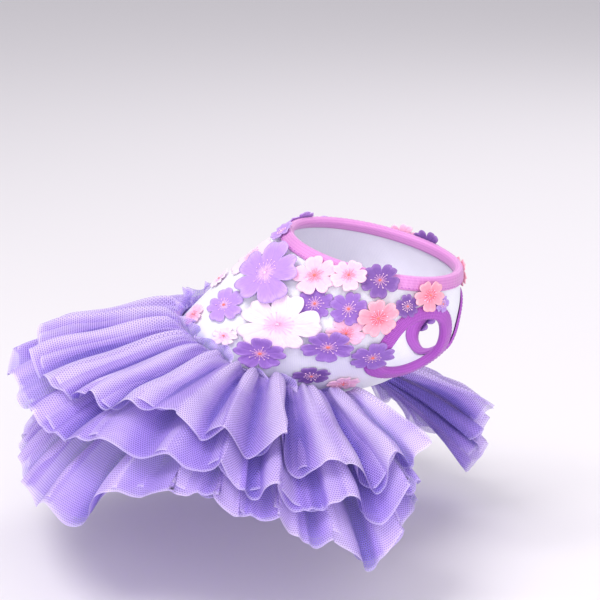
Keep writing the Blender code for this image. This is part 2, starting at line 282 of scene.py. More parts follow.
def makePetalGroup():
    # Veins that run out from the heart, a darker throat and a lighter rim
    group, given, result = newGroup(
        "petalTone",
        (
            ("Heart", "NodeSocketColor", (1, 1, 1, 1)),
            ("Body", "NodeSocketColor", (1, 1, 1, 1)),
            ("Rim", "NodeSocketColor", (1, 1, 1, 1)),
            ("Heart Reach", "NodeSocketFloat", 0.35),
        ),
        (("Color", "NodeSocketColor"), ("Height", "NodeSocketFloat")),
    )
    _, turn, out = clothMap(group)
    stretched = addNode(group, "ShaderNodeCombineXYZ")
    connect(group, maths(group, "MULTIPLY", turn, 9.0), stretched.inputs[0])
    connect(group, maths(group, "MULTIPLY", out, 1.4), stretched.inputs[1])
    veins = noiseAt(group, stretched.outputs[0], 3.4, 4.0)
    heart = maths(group, "SUBTRACT", 1.0, maths(group, "DIVIDE", out, given.outputs["Heart Reach"]))
    heart = maths(group, "ADD", heart, maths(group, "MULTIPLY_ADD", veins, 0.9, -0.45))
    colour = blendColours(group, ramp(group, heart, 0.0, 0.7), given.outputs["Body"], given.outputs["Heart"])
    rim = ramp(group, maths(group, "ADD", out, maths(group, "MULTIPLY_ADD", veins, 0.3, -0.15)), 0.72, 1.0)
    colour = blendColours(group, maths(group, "MULTIPLY", rim, 0.75), colour, given.outputs["Rim"])
    shade = ramp(group, veins, 0.30, 0.62, 0.92, 1.04)
    darker = addNode(group, "ShaderNodeVectorMath", operation="SCALE")
    connect(group, colour, darker.inputs[0])
    connect(group, shade, darker.inputs["Scale"])
    fibres = noiseAt(group, objectPlace(group), 1500.0, 2.0)
    height = maths(group, "ADD", veins, maths(group, "MULTIPLY", fibres, 0.5))
    connect(group, darker.outputs[0], result.inputs["Color"])
    connect(group, height, result.inputs["Height"])
    return group


def makeRibGroup():
    # Elastic rib: fine cross ribs in long rows, with painted shade that makes the grooves darker than the ridges, plus
    # a random drift in tone
    group, given, result = newGroup(
        "elasticRib",
        (
            ("Ridge", "NodeSocketColor", (1, 1, 1, 1)),
            ("Groove", "NodeSocketColor", (1, 1, 1, 1)),
            ("Pitch", "NodeSocketFloat", 0.0007),
        ),
        (("Color", "NodeSocketColor"), ("Height", "NodeSocketFloat")),
    )
    _, run, across = clothMap(group)
    turns = maths(group, "DIVIDE", maths(group, "MULTIPLY", run, math.tau), given.outputs["Pitch"])
    ribs = maths(group, "MULTIPLY_ADD", maths(group, "SINE", turns), 0.5, 0.5)
    rows = maths(group, "SINE", maths(group, "MULTIPLY", across, math.tau / 0.0015))
    rows = maths(group, "MULTIPLY_ADD", rows, 0.5, 0.5)
    height = maths(group, "ADD", maths(group, "MULTIPLY", ribs, 0.65), maths(group, "MULTIPLY", rows, 0.35))
    drift = noiseAt(group, objectPlace(group), 60.0)
    share = maths(group, "ADD", height, maths(group, "MULTIPLY_ADD", drift, 0.5, -0.25))
    # painted shade: colour runs from the darker groove tone in the grooves to the ridge tone on the ribs
    colour = blendColours(group, ramp(group, share, 0.05, 0.75), given.outputs["Groove"], given.outputs["Ridge"])
    connect(group, colour, result.inputs["Color"])
    connect(group, height, result.inputs["Height"])
    return group


def makeWeaveGroup():
    # Fine holed knit, with the holes painted a little darker and bluer as painted shade seen through them
    group, given, result = newGroup(
        "holedKnit",
        (
            ("Yarn", "NodeSocketColor", (1, 1, 1, 1)),
            ("Hole", "NodeSocketColor", (1, 1, 1, 1)),
            ("Pitch", "NodeSocketFloat", 0.0009),
        ),
        (("Color", "NodeSocketColor"), ("Height", "NodeSocketFloat")),
    )
    place = clothMap(group)[0]
    scaled = addNode(group, "ShaderNodeVectorMath", operation="SCALE")
    connect(group, place, scaled.inputs[0])
    connect(group, maths(group, "DIVIDE", 1.0, given.outputs["Pitch"]), scaled.inputs["Scale"])
    cells = addNode(group, "ShaderNodeTexBrick", offset=0.5, offset_frequency=2)
    cells.inputs["Scale"].default_value = 1.0
    cells.inputs["Mortar Size"].default_value = 0.24
    cells.inputs["Mortar Smooth"].default_value = 0.9
    cells.inputs["Brick Width"].default_value = 1.0
    cells.inputs["Row Height"].default_value = 0.8
    connect(group, scaled.outputs[0], cells.inputs["Vector"])
    yarn = cells.outputs["Fac"]
    drift = noiseAt(group, objectPlace(group), 45.0)
    # painted shade: the holes take the darker hole tone
    colour = blendColours(group, yarn, given.outputs["Hole"], given.outputs["Yarn"])
    shade = ramp(group, drift, 0.3, 0.7, 0.95, 1.02)
    toned = addNode(group, "ShaderNodeVectorMath", operation="SCALE")
    connect(group, colour, toned.inputs[0])
    connect(group, shade, toned.inputs["Scale"])
    connect(group, toned.outputs[0], result.inputs["Color"])
    connect(group, yarn, result.inputs["Height"])
    return group


netGroup = makeNetGroup()
tulleToneGroup = makeTulleToneGroup()
petalGroup = makePetalGroup()
ribGroup = makeRibGroup()
weaveGroup = makeWeaveGroup()


def newMaterial(name, roughness, sheen=0.0):
    material = bpy.data.materials.new(name)
    material.use_nodes = True
    shader = material.node_tree.nodes["Principled BSDF"]
    shader.inputs["Roughness"].default_value = roughness
    shader.inputs["Specular IOR Level"].default_value = 0.25
    shader.inputs["Sheen Weight"].default_value = sheen
    shader.inputs["Sheen Roughness"].default_value = 0.5
    return material, shader


def placeGroup(material, group, values):
    node = material.node_tree.nodes.new("ShaderNodeGroup")
    node.node_tree = group
    for name, value in values.items():
        feed(material.node_tree, node, name, value)
    return node


def addBump(material, shader, height, strength, distance):
    bump = material.node_tree.nodes.new("ShaderNodeBump")
    bump.inputs["Strength"].default_value = strength
    bump.inputs["Distance"].default_value = distance
    material.node_tree.links.new(height, bump.inputs["Height"])
    material.node_tree.links.new(bump.outputs[0], shader.inputs["Normal"])


def groupedMaterial(name, group, values, roughness, sheen, strength, distance):
    material, shader = newMaterial(name, roughness, sheen)
    node = placeGroup(material, group, values)
    material.node_tree.links.new(node.outputs["Color"], shader.inputs["Base Color"])
    addBump(material, shader, node.outputs["Height"], strength, distance)
    return material, shader


def tone(red, green, blue):
    # A display colour of 0 to 255 as the linear value that a shader takes
    return tuple((part / 255) ** 2.2 for part in (red, green, blue)) + (1.0,)


def tulleMaterial(name, pale, middle, deep, threadAlpha, holeAlpha):
    material, shader = newMaterial(name, 0.75, 0.08)
    net = placeGroup(material, netGroup, {"Thread Alpha": threadAlpha, "Hole Alpha": holeAlpha})
    values = {"Pale": pale, "Middle": middle, "Deep": deep, "Thread": net.outputs["Thread"]}
    shade = placeGroup(material, tulleToneGroup, values)
    material.node_tree.links.new(shade.outputs["Color"], shader.inputs["Base Color"])
    material.node_tree.links.new(net.outputs["Alpha"], shader.inputs["Alpha"])
    addBump(material, shader, net.outputs["Thread"], 0.25, 0.0003)
    return material


petalColours = {
    # heart, body, rim, reach of the heart
    "lilac": (tone(226, 190, 240), tone(186, 144, 226), tone(206, 172, 238), 0.34),
    "purple": (tone(214, 150, 200), tone(148, 106, 192), tone(176, 136, 212), 0.30),
    "violet": (tone(170, 110, 176), tone(122, 84, 162), tone(158, 120, 190), 0.34),
    "pink": (tone(248, 140, 170), tone(255, 194, 224), tone(255, 214, 236), 0.52),
    "palePink": (tone(252, 196, 226), tone(253, 224, 246), tone(255, 234, 250), 0.46),
    "coral": (tone(238, 110, 132), tone(250, 160, 182), tone(255, 190, 206), 0.60),
}
petalMaterials = {}
for colourName, (heartTone, bodyTone, rimTone, heartReach) in petalColours.items():
    tones = {"Heart": heartTone, "Body": bodyTone, "Rim": rimTone, "Heart Reach": heartReach}
    petalMaterials[colourName], _ = groupedMaterial(
        f"{colourName} petal cloth", petalGroup, tones, 0.55, 0.15, 0.22, 0.0003
    )
# the hole tone is painted shade seen through the knit's holes
knitTones = {"Yarn": tone(250, 250, 255), "Hole": tone(236, 236, 250)}
# groove tones are the ridge tones darkened, as painted shade
legTones = {"Ridge": tone(186, 98, 204), "Groove": tone(158, 76, 178)}
neckTones = {"Ridge": tone(226, 152, 216), "Groove": tone(200, 124, 196)}
knitMaterial, _ = groupedMaterial("white holed knit", weaveGroup, knitTones, 0.7, 0.1, 0.25, 0.0002)
bindingMaterial, _ = groupedMaterial("orchid elastic", ribGroup, legTones, 0.45, 0.2, 0.25, 0.0002)
neckBindingMaterial, _ = groupedMaterial("pink orchid elastic", ribGroup, neckTones, 0.45, 0.2, 0.25, 0.0002)
threadMaterial, threadShader = newMaterial("orchid thread", 0.5, 0.2)
threadShader.inputs["Base Color"].default_value = tone(178, 92, 196)
stamenMaterial, stamenShader = newMaterial("pale pink stamens", 0.5, 0.2)
stamenShader.inputs["Base Color"].default_value = tone(250, 205, 236)
heartMaterial, heartShader = newMaterial("coral heart", 0.45, 0.2)
heartShader.inputs["Base Color"].default_value = tone(244, 120, 112)
upperTulle = tulleMaterial(
    "upper tulle", tone(214, 192, 246), tone(166, 132, 230), tone(92, 60, 190), 0.90, 0.44
)
middleTulle = tulleMaterial(
    "middle tulle", tone(196, 168, 244), tone(148, 112, 226), tone(84, 52, 182), 0.90, 0.46
)
lowerTulle = tulleMaterial(
    "lower tulle", tone(198, 170, 244), tone(150, 114, 226), tone(86, 54, 184), 0.90, 0.46
)
print("materials ready")


# Meshes

def makePiece(name, points, faces, cornerUvs, materials, smooth=True, places=None):
    mesh = bpy.data.meshes.new(name)
    mesh.from_pydata(np.asarray(points, float).reshape(-1, 3).tolist(), [], faces)
    if cornerUvs is not None:
        layer = mesh.uv_layers.new(name="cloth")
        layer.data.foreach_set("uv", np.asarray(cornerUvs, np.float32).ravel())
    for material in materials:
        mesh.materials.append(material)
    if places is not None:
        mesh.polygons.foreach_set("material_index", np.asarray(places, np.int32))
    if smooth:
        mesh.shade_smooth()
    made = bpy.data.objects.new(name, mesh)
    bpy.context.scene.collection.objects.link(made)
    return made


def gridFaces(rows, columns, wrap=False, flip=False, keep=None, first=0):
    # Faces between rows of points, and for each face the row and column of its corners
    spans = columns if wrap else columns - 1
    faces, corners = [], []
    for row in range(rows - 1):
        for column in range(spans):
            if keep is not None and not keep[row, column]:
                continue
            ring = ((row, column), (row, column + 1), (row + 1, column + 1), (row + 1, column))
            if flip:
                ring = ring[::-1]
            faces.append(tuple(first + r * columns + c % columns for r, c in ring))
            corners.extend(ring)
    return faces, np.array(corners)


def dropLoose(piece):
    body = bmesh.new()
    body.from_mesh(piece.data)
    bmesh.ops.delete(body, geom=[v for v in body.verts if not v.link_faces], context="VERTS")
    body.to_mesh(piece.data)
    body.free()


def addValues(piece, name, values):
    layer = piece.data.attributes.new(name, "FLOAT", "POINT")
    layer.data.foreach_set("value", np.asarray(values, np.float32).ravel())


def thicken(piece, thickness, offset=0.0):
    wall = piece.modifiers.new("cloth wall", "SOLIDIFY")
    wall.thickness = thickness
    wall.offset = offset


def joinParts(parts):
    # Joins lists of (points, faces, corner uvs, material number) into one mesh
    points, faces, uvs, places = [], [], [], []
    count = 0
    for partPoints, partFaces, partUvs, place in parts:
        partPoints = np.asarray(partPoints, float).reshape(-1, 3)
        points.append(partPoints)
        faces.extend(tuple(int(corner) + count for corner in face) for face in partFaces)
        uvs.append(np.asarray(partUvs, float).reshape(-1, 2))
        places.extend([place] * len(partFaces))
        count += len(partPoints)
    return np.concatenate(points), faces, np.concatenate(uvs), places


# Bodice

bodice = {
    "columns": 240,
    "rows": 84,
    "thickness": 0.0012,
    "puckerDepth": 0.0004,  # how far the gathers pull the cloth in and out near the waist
}
armhole = {"along": 0.62, "around": 149.5, "length": 0.03668, "width": 0.0340, "squareness": 2.3}


def armholeEdge(side, turn):
    # Place along and around of points of a leg hole's edge, side 1 for the wearer's right
    perAlong, perDegree = metresPer(armhole["along"], armhole["around"])
    power = 2 / armhole["squareness"]
    up = np.sign(np.sin(turn)) * np.abs(np.sin(turn)) ** power * armhole["length"] / 2
    across = np.sign(np.cos(turn)) * np.abs(np.cos(turn)) ** power * armhole["width"] / 2
    return armhole["along"] + up / perAlong, side * (armhole["around"] + across / perDegree)


def insideArmhole(along, around, margin):
    perAlong, perDegree = metresPer(armhole["along"], armhole["around"])
    power = armhole["squareness"]
    around = np.abs((around + 180) % 360 - 180)
    up = np.abs(along - armhole["along"]) * perAlong / (armhole["length"] / 2 + margin)
    across = np.abs(around - armhole["around"]) * perDegree / (armhole["width"] / 2 + margin)
    return up**power + across**power < 1


def makeBodice():
    rows, columns = bodice["rows"] + 1, bodice["columns"]
    along = np.linspace(0, 1, rows)[:, None]
    around = (np.arange(columns) * 360 / columns)[None, :]
    turn = np.radians(around)
    pucker = np.sin(turn * 47 + 2 * np.sin(turn * 3)) * np.exp(-along * 9)
    pucker = pucker + 0.5 * np.sin(turn * 11 + 9 * along) * np.sin(turn * 5 - 4 * along)
    height = bodice["thickness"] / 2 + bodice["puckerDepth"] * 0.5 * pucker
    points = offBody(along, around, height)
    cellAlong = (along[:-1] + along[1:]) / 2
    cellAround = around + 180 / columns
    keep = ~insideArmhole(cellAlong, cellAround, 0.0012)
    faces, corners = gridFaces(rows, columns, wrap=True, keep=keep)
    uvs = np.stack([corners[:, 1] / columns * 0.335, corners[:, 0] / (rows - 1) * 0.100], axis=1)
    piece = makePiece("bodice_cloth", points, faces, uvs, [knitMaterial])
    dropLoose(piece)
    thicken(piece, bodice["thickness"])
    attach(piece, "root")
    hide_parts("bodice")
    return piece


makeBodice()
print("bodice made")


# Bindings

binding = {
    "thickness": 0.0010,
    "width": 0.0060,
    "clearance": 0.0006,
    "innerShare": 0.7,
    "legSteps": 220,
    "neckSteps": 300,
    "stitchPitch": 0.0021,
    "stitchLength": 0.0014,
    "stitchWidth": 0.00034,
    "ruffle": 0.00025,  # how far the stretched edge waves in and out
}


def bindingProfile():
    # Distance into the cloth and height off the body form, once round the folded strip, with the run
    outside = bodice["thickness"] + binding["clearance"]
    thick, wide, gap = binding["thickness"], binding["width"], binding["clearance"]
    inner = wide * binding["innerShare"]
    outer = [(wide, outside + thick * 0.25), (wide - 0.0003, outside + thick * 0.75)]
    outer += [(wide * share, outside + thick * (1.0 + 0.15 * math.sin(math.pi * share)))
              for share in (0.85, 0.7, 0.5, 0.3, 0.12)]
    middle = (outside + thick - gap - thick) / 2
    reach = outside + thick - middle
    turn = []
    for step in range(7):
        angle = math.pi / 2 + math.pi * step / 6
        turn.append((-gap * 0.4 + math.cos(angle) * (gap * 0.6 + thick), middle + math.sin(angle) * reach))
    back = [(inner * share, -gap - thick) for share in (0.3, 0.7, 1.0)]
    inside = [(inner, -gap), (inner * 0.5, -gap), (-gap, -gap), (-gap, outside), (wide * 0.5, outside),
              (wide, outside)]
    return outer + turn + back + inside


def makeBinding(name, node, along, around, up, across, flatLength, material):
    # A folded elastic strip round an edge, from places on the edge and the way into the cloth there
    profile = bindingProfile()
    steps = len(along)
    points = np.zeros((steps, len(profile), 3))
    wave = np.sin(np.arange(steps) * 1.9) * binding["ruffle"]
    perAlong, perDegree = zip(*[metresPer(a, r) for a, r in zip(along, around)])
    perAlong, perDegree = np.array(perAlong), np.array(perDegree)
    for column, (depth, height) in enumerate(profile):
        raised = height + wave * (1 if height > bodice["thickness"] * 1.5 else 0) * 0.6
        points[:, column] = offBody(
            along + up * depth / perAlong, around + across * depth / perDegree, raised
        )
    count = len(profile)
    faces, corners = [], []
    for row in range(steps):
        for column in range(count):
            ring = ((row, column), (row, column + 1), (row + 1, column + 1), (row + 1, column))
            faces.append(tuple((r % steps) * count + c % count for r, c in ring))
            corners.extend(ring)
    corners = np.array(corners, float)
    spans = [math.dist(profile[i], profile[(i + 1) % count]) for i in range(count)]
    reach = np.concatenate([[0], np.cumsum(spans)])
    uvs = np.stack([corners[:, 0] / steps * flatLength, reach[corners[:, 1].astype(int)]], axis=1)
    piece = makePiece(name, points, faces, uvs, [material])
    body = bmesh.new()
    body.from_mesh(piece.data)
    bmesh.ops.recalc_face_normals(body, faces=body.faces)
    body.to_mesh(piece.data)
    body.free()
    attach(piece, "root")
    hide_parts(node)
    outside = bodice["thickness"] + binding["clearance"] + binding["thickness"]
    stitched = offBody(
        along + up * binding["width"] * 0.80 / perAlong, around + across * binding["width"] * 0.80 / perDegree,
        outside + 0.00012,
    )
    return piece, stitched


def stitchTree():
    # Stitches along the object's own edges: one short rounded thread at every pitch
    tree = bpy.data.node_groups.new("stitch row", "GeometryNodeTree")
    tree.interface.new_socket("Geometry", in_out="INPUT", socket_type="NodeSocketGeometry")
    for name, value in (("Pitch", binding["stitchPitch"]), ("Length", binding["stitchLength"]),
                        ("Width", binding["stitchWidth"])):
        socket = tree.interface.new_socket(name, in_out="INPUT", socket_type="NodeSocketFloat")
        socket.default_value = value
    tree.interface.new_socket("Geometry", in_out="OUTPUT", socket_type="NodeSocketGeometry")
    given, result = tree.nodes.new("NodeGroupInput"), tree.nodes.new("NodeGroupOutput")
    path = tree.nodes.new("GeometryNodeMeshToCurve")
    spaced = tree.nodes.new("GeometryNodeResampleCurve")
    spaced.mode = "LENGTH"
    bead = tree.nodes.new("GeometryNodeMeshUVSphere")
    bead.inputs["Segments"].default_value = 6
    bead.inputs["Rings"].default_value = 4
    bead.inputs["Radius"].default_value = 0.5
    placed = tree.nodes.new("GeometryNodeInstanceOnPoints")
    tangent = tree.nodes.new("GeometryNodeInputTangent")
    turned = tree.nodes.new("FunctionNodeAlignRotationToVector")
    turned.axis = "X"
    size = tree.nodes.new("ShaderNodeCombineXYZ")
    real = tree.nodes.new("GeometryNodeRealizeInstances")
    finish = tree.nodes.new("GeometryNodeSetMaterial")
    finish.inputs["Material"].default_value = threadMaterial
    links = tree.links
    links.new(given.outputs["Geometry"], path.inputs[0])
    links.new(path.outputs[0], spaced.inputs["Curve"])
    links.new(given.outputs["Pitch"], spaced.inputs["Length"])
    links.new(spaced.outputs[0], placed.inputs["Points"])
    links.new(bead.outputs["Mesh"], placed.inputs["Instance"])
    links.new(tangent.outputs[0], turned.inputs["Vector"])
    links.new(turned.outputs[0], placed.inputs["Rotation"])
    links.new(given.outputs["Length"], size.inputs[0])
    links.new(given.outputs["Width"], size.inputs[1])
    links.new(given.outputs["Width"], size.inputs[2])
    links.new(size.outputs[0], placed.inputs["Scale"])
    links.new(placed.outputs[0], real.inputs[0])
    links.new(real.outputs[0], finish.inputs["Geometry"])
    links.new(finish.outputs[0], result.inputs[0])
    return tree


def runTree(tree, source, values, name):
    # Puts a geometry tree on an object, takes its result as a plain mesh and drops the object
    modifier = source.modifiers.new("nodes", "NODES")
    modifier.node_group = tree
    for item in tree.interface.items_tree:
        if item.item_type == "SOCKET" and item.in_out == "INPUT" and item.name in values:
            modifier[item.identifier] = values[item.name]
    graph = bpy.context.evaluated_depsgraph_get()
    mesh = bpy.data.meshes.new_from_object(source.evaluated_get(graph), depsgraph=graph)
    source.modifiers.remove(modifier)
    bpy.data.objects.remove(source, do_unlink=True)
    mesh.name = name
    return mesh


def makeStitches(name, path):
    count = len(path)
    mesh = bpy.data.meshes.new(f"{name}_path")
    mesh.from_pydata(path.tolist(), [(step, (step + 1) % count) for step in range(count)], [])
    source = bpy.data.objects.new(f"{name}_path", mesh)
    bpy.context.scene.collection.objects.link(source)
    values = {"Pitch": binding["stitchPitch"], "Length": binding["stitchLength"], "Width": binding["stitchWidth"]}
    made = runTree(stitches, source, values, name)
    made.shade_smooth()
    piece = bpy.data.objects.new(name, made)
    bpy.context.scene.collection.objects.link(piece)
    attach(piece, "root")
    return piece


stitches = stitchTree()
turn = np.linspace(0, math.tau, binding["legSteps"], endpoint=False)
for side, sideName in ((1, "right"), (-1, "left")):
    along, around = armholeEdge(side, turn)
    perAlong, perDegree = metresPer(armhole["along"], armhole["around"])
    runRound = (np.roll(around, -1) - np.roll(around, 1)) * perDegree
    runUp = (np.roll(along, -1) - np.roll(along, 1)) * perAlong
    length = np.hypot(runRound, runUp)
    away = (-runRound / length * side, runUp / length * side)
    name = f"armhole_binding_{sideName}"
    _, path = makeBinding(f"{name}_elastic", name, along, around, away[0], away[1], 0.112,
                          bindingMaterial)
    makeStitches(f"{name}_stitches", path)
turn = np.arange(binding["neckSteps"]) * 360 / binding["neckSteps"]
even = np.ones(binding["neckSteps"])
_, path = makeBinding("neck_binding_elastic", "neck_binding", even, turn, -even, even * 0, 0.270,
                      neckBindingMaterial)
makeStitches("neck_binding_stitches", path)
print("bindings made")


# Skirt

skirt = {
    "seamSpacing": 0.0040,
    "lowestSeam": 0.0020,
    "end": 150.0,
    "bend": 8.0,
    "spread": 4.0,
    "gatherLength": 0.010,
    "netThickness": 0.0010,
    "clearance": 0.0003,
    "columns": 760,
    "rows": 46,
    "gatherDepth": 0.0007,   # fine gathers near the seam
    "fluteDepth": 0.0014,    # small flutes that ride on the main folds at the hem
    "rippleDepth": 0.0008,   # ripple of the cut hem
    "puff": 0.0050,          # how far the upper tier's ridges stand up just out from the seam
    "curl": 0.0030,          # how far the hem of a ridge turns down
    "sway": 2.6,             # sideways bend of the folds towards the hem, degrees
    "hemWander": 0.0016,     # unevenness of the cut hem
    "plyGap": 0.0012,        # a tier is two plies of net
    "plyShort": 0.0040,      # the lower ply is cut shorter
    "hemWidth": 0.0013,
}
# How the skirt fans out: place round the seam and the way that the cloth there points
fan = ((0, 0), (30, 22), (60, 56), (90, 96), (120, 123), (150, 142))
# How much further below level the skirt hangs on the wearer's left side: around, degrees for each tier
leftDroop = (
    (0, 0, 0, 0),
    (17, 8, 8, 3),
    (30, 11, 11, 4),
    (60, 14, 12, 4),
    (100, 14, 12, 8),
    (150, 19, 16, 13),
)
# One row is a ridge and the hollow after it: place round the seam, droop, lean, reach, twice
upperFolds = (
    (0, 9, 0, 1.00, 9, 12, 0, 0.99),
    (17, 4, 0, 1.00, 26, 12, 0, 1.00),
    (34, 5, 1, 1.01, 42, 13, 0, 1.00),
    (49, 7, 1, 1.00, 56, 13, 0, 0.98),
    (62, 5, 0, 0.96, 69, 9, 0, 0.96),
    (75, 0, 0, 0.97, 80, 3, 0, 0.97),
    (85, -1, -1, 0.99, 89, 9, -1, 0.99),
    (93, 0, 1, 0.99, 98, 14, 0, 0.98),
    (105, 1, 4, 0.98, 110, 18, -3, 0.98),
    (121, 8, 1, 1.00, 129, 21, 0, 1.03),
    (135, 5, 0, 0.97, 141, 14, 0, 0.96),
    (148, 2, 0, 0.93, 154, 8, 0, 0.93),
)
middleFolds = (
    (4, 14, 0, 0.95, 10, 17, 0, 0.95),
    (17, 10, 0, 0.94, 24, 18, 0, 0.97),
    (32, 12, 0, 0.94, 41, 21, 0, 0.93),
    (51, 14, 0, 0.93, 62, 19, 0, 0.95),
    (72, 10, 0, 0.94, 80, 14, 0, 0.95),
    (86, 8, 0, 0.96, 90, 14, 0, 0.96),
    (95, 9, 0, 0.95, 101, 19, 0, 0.97),
    (107, 12, 0, 0.96, 113, 23, 0, 0.97),
    (122, 16, 0, 0.95, 130, 26, 0, 0.98),
    (138, 12, 0, 0.91, 145, 18, 0, 0.82),
)
lowerFolds = (
    (0, 35, 0, 0.94, 8, 40, 0, 0.97),
    (15, 37, 0, 0.92, 23, 43, 0, 0.97),
    (31, 38, 0, 0.91, 40, 42, 0, 0.95),
    (48, 35, 0, 0.93, 56, 38, 0, 0.96),
    (63, 29, 0, 0.96, 71, 32, 0, 0.99),
    (77, 20, 0, 0.90, 83, 21, 0, 0.87),
    (88, 14, 0, 0.86, 93, 18, 0, 0.86),
    (96, 15, 0, 0.86, 103, 24, 0, 0.86),
    (109, 18, 0, 0.86, 115, 28, 0, 0.90),
    (119, 24, 0, 0.90, 127, 32, 0, 0.97),
    (134, 23, 0, 0.90, 143, 24, 0, 0.78),
)


def foldKeys(folds):
    # Rows of place, droop, lean, reach and depth in the fold: 0 on a ridge, 1 in a hollow
    keys = []
    for row in folds:
        keys.append(row[:4] + (0,))
        keys.append(row[4:] + (1,))
    return keys


tiers = (
    # name, folds, length, seam number, material, flat width, phase of the small flutes
    ("skirt_upper_tier", foldKeys(upperFolds), 0.082, 2, upperTulle, 0.66, 0.4),
    ("skirt_middle_tier", foldKeys(middleFolds), 0.100, 1, middleTulle, 0.72, 2.1),
    ("skirt_lower_tier", foldKeys(lowerFolds), 0.120, 0, lowerTulle, 0.78, 4.0),
)


def droopAt(tier, around):
    # A lower tier lies a spread below the one over it
    own = between(tiers[tier][1], np.abs(around), 1)
    own = own + np.where(around < 0, between(leftDroop, np.abs(around), tier + 1), 0)
    if tier == 0:
        return own
    return np.maximum(own, droopAt(tier - 1, around) + skirt["spread"])


def onTier(tier, around, out):
    keys, length, seam = tiers[tier][1:4]
    around, out = np.broadcast_arrays(np.asarray(around, float), np.asarray(out, float))
    side = np.where(around < 0, -1.0, 1.0)
    place = (skirt["lowestSeam"] + seam * skirt["seamSpacing"]) / bodyForm["backLength"]
    rise = bodice["thickness"] + skirt["clearance"] + skirt["netThickness"]
    start = offBody(place, around, rise)
    reach = between(keys, np.abs(around), 3) * length * out
    gathered = np.minimum(1, reach / skirt["gatherLength"])
    azimuth = between(fan, np.abs(around), 1) + between(keys, np.abs(around), 2) * gathered
    sway = np.sin(np.radians(around * 3.1) + 1.0) + 0.7 * np.sin(np.radians(around * 7.7) + 2.0)
    azimuth = np.radians(side * azimuth + skirt["sway"] * sway * out**2 * np.sin(np.pi * out * 0.85))
    droop = np.radians(droopAt(tier, around) - skirt["bend"] * (1 - out))
    way = vectors(-np.cos(azimuth) * np.cos(droop), -np.sin(azimuth) * np.cos(droop), -np.sin(droop))
    return start + reach[..., None] * way, reach


def makeTier(tier, ply):
    # One ply of a tier: 0 is the upper one, which the solid tier stands for, 1 the one under it
    name, keys, length, seam, material, flatWidth, phase = tiers[tier]
    phase = phase + ply * 1.9
    rows, columns = skirt["rows"] + 1, skirt["columns"] + 1
    out = (np.linspace(0, 1, rows) ** 1.15)[:, None]
    around = np.linspace(-skirt["end"], skirt["end"], columns)[None, :]
    points, reach = onTier(tier, around, out)
    wander = 1.4 * np.sin(np.radians(around * 5.3) + phase) + 0.8 * np.sin(np.radians(around * 13.1) - phase)
    cut = skirt["hemWander"] * np.sin(np.radians(around * 17) + 2 * wander) + ply * skirt["plyShort"]
    way = unit(np.gradient(points, axis=0))
    points = points - way * (cut * smoothStep(0.5, 1.0, out))[..., None]
    reach = reach - cut * smoothStep(0.5, 1.0, out)
    up = unit(np.cross(np.gradient(points, axis=0), np.gradient(points, axis=1)))
    fine = np.sin(np.radians(around * 96) + 2.2 * wander + phase)
    medium = np.sin(np.radians(around * 44) + 1.7 * wander + 2 * phase)
    ripple = np.sin(np.radians(around * 71) + 2.4 * wander + 3 * phase)
    ridge = np.clip(1 - between(keys, np.abs(around), 4), 0, 1)
    gather = skirt["gatherDepth"] * smoothStep(0, 0.004, reach) * (1 - smoothStep(0.012, 0.040, reach))
    flute = skirt["fluteDepth"] * smoothStep(0.006, length, reach)
    hem = skirt["rippleDepth"] * smoothStep(0.72, 1.0, out)
    offset = gather * fine + flute * medium + hem * ripple - ply * skirt["plyGap"] * smoothStep(0, 0.01, reach)
    offset = offset - skirt["curl"] * ridge**2 * smoothStep(0.80, 1.05, out) ** 1.5
    if tier == 0:
        puff = smoothStep(0, 0.010, reach) * (1 - smoothStep(0.012, 0.052, reach))
        offset = offset + skirt["puff"] * puff * (ridge**1.5 + 0.25 * medium)
    points = points + up * offset[..., None]
    run = np.linalg.norm(np.diff(points[-1], axis=0), axis=1)
    run = np.concatenate([[0], np.cumsum(run)])
    faces, corners = gridFaces(rows, columns, flip=True)
    uvs = np.stack([run[corners[:, 1]], reach[corners[:, 0], corners[:, 1]]], axis=1)
    piece = makePiece(f"{name}_tulle" + ("_underlay" if ply else ""), points, faces, uvs, [material])
    # Painted shade mask: deep in the hollows between ridges and in the small flutes, strongest near the seam gathers,
    # easing towards the hem
    depth = (1 - ridge) ** 1.3 * smoothStep(0.0, 0.30, out) * (0.95 - 0.35 * smoothStep(0.6, 1.0, out))
    depth = depth + 0.20 * (0.6 - medium) * smoothStep(0.015, 0.05, reach)
    depth = depth + 0.55 * (1 - smoothStep(0.0, 0.030, reach)) * (0.35 + 0.4 * (1 - ridge) - 0.35 * fine)
    addValues(piece, "paintedFoldShade", np.broadcast_to(depth, points.shape[:2]))
    # Hem band: a painted highlight along the cut hem in the colour, and denser net in the alpha
    fromHem = reach[-1][None, :] - reach
    addValues(piece, "hemShare", 1 - smoothStep(0, skirt["hemWidth"], fromHem))
    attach(piece, "root")
    if ply == 0:
        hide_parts(name)
    return piece


frill = {
    "height": 0.0120,
    "foot": 0.0024,     # from the body form to the net at the seam
    "hug": 0.0052,      # how far the top edge stands off the body between two ruffles
    "flare": 0.0125,    # and on a ruffle
    "columns": 700,
    "rows": 12,
}


